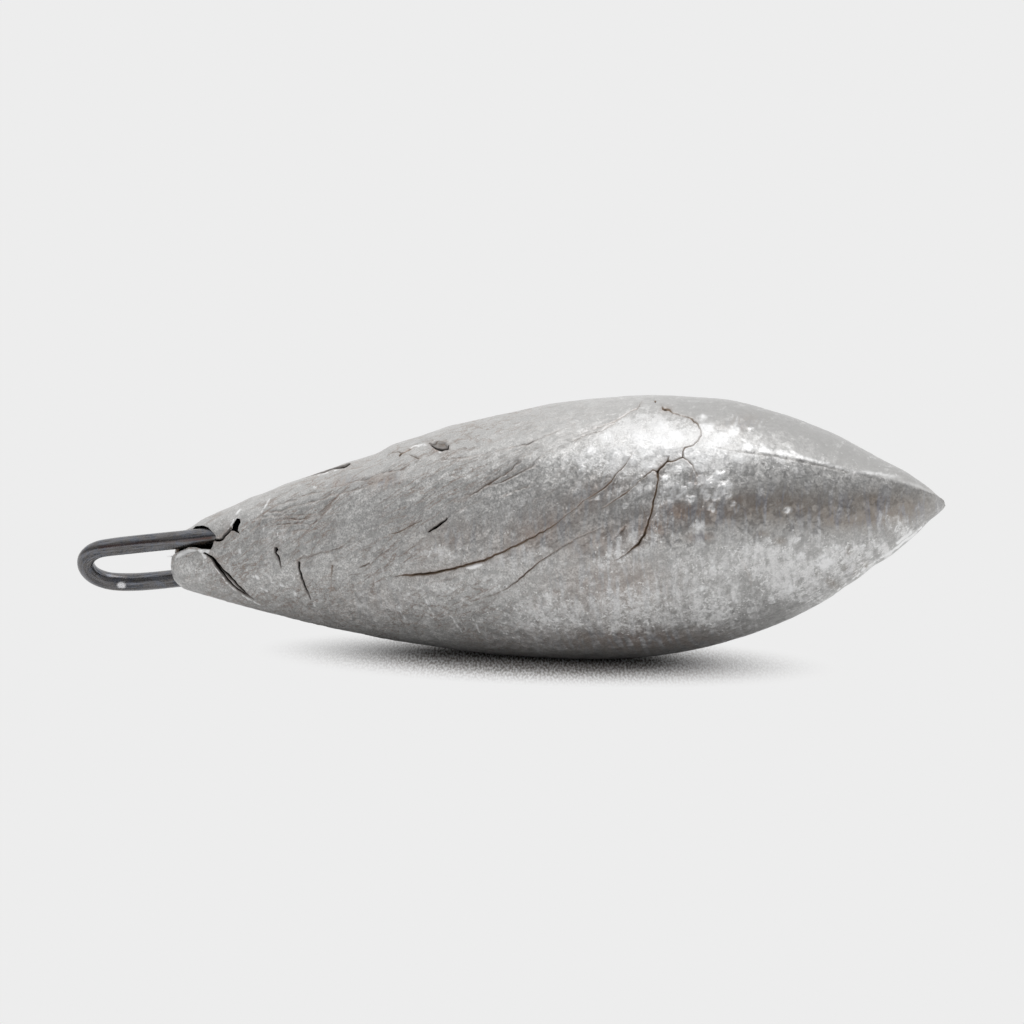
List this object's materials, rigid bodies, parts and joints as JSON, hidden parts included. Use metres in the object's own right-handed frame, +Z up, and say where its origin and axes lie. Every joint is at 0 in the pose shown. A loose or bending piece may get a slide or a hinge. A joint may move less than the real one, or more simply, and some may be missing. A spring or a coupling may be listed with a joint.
{
  "type": "fishing sinker",
  "caption": "Pointed cast lead fishing sinker, a spindle with a mould seam, and a bent wire eye cast into its slim end.",
  "frame": {"origin": "middle of the part's box, on the table that it lies on", "axes": "+X towards the pointed nose, +Z up from the table, with the mould seam rolled up on the -Y side"},
  "size_m": [0.0921, 0.027, 0.0274],
  "materials": {
    "cast_lead": "matte weathered cast lead, light grey, frosted near the nose",
    "steel_wire": "dark tarnished drawn wire, softly shiny"
  },
  "bodies": {
    "root": {"lead_body": "cast_lead", "wire_eye": "steel_wire"}
  },
  "joints": []
}
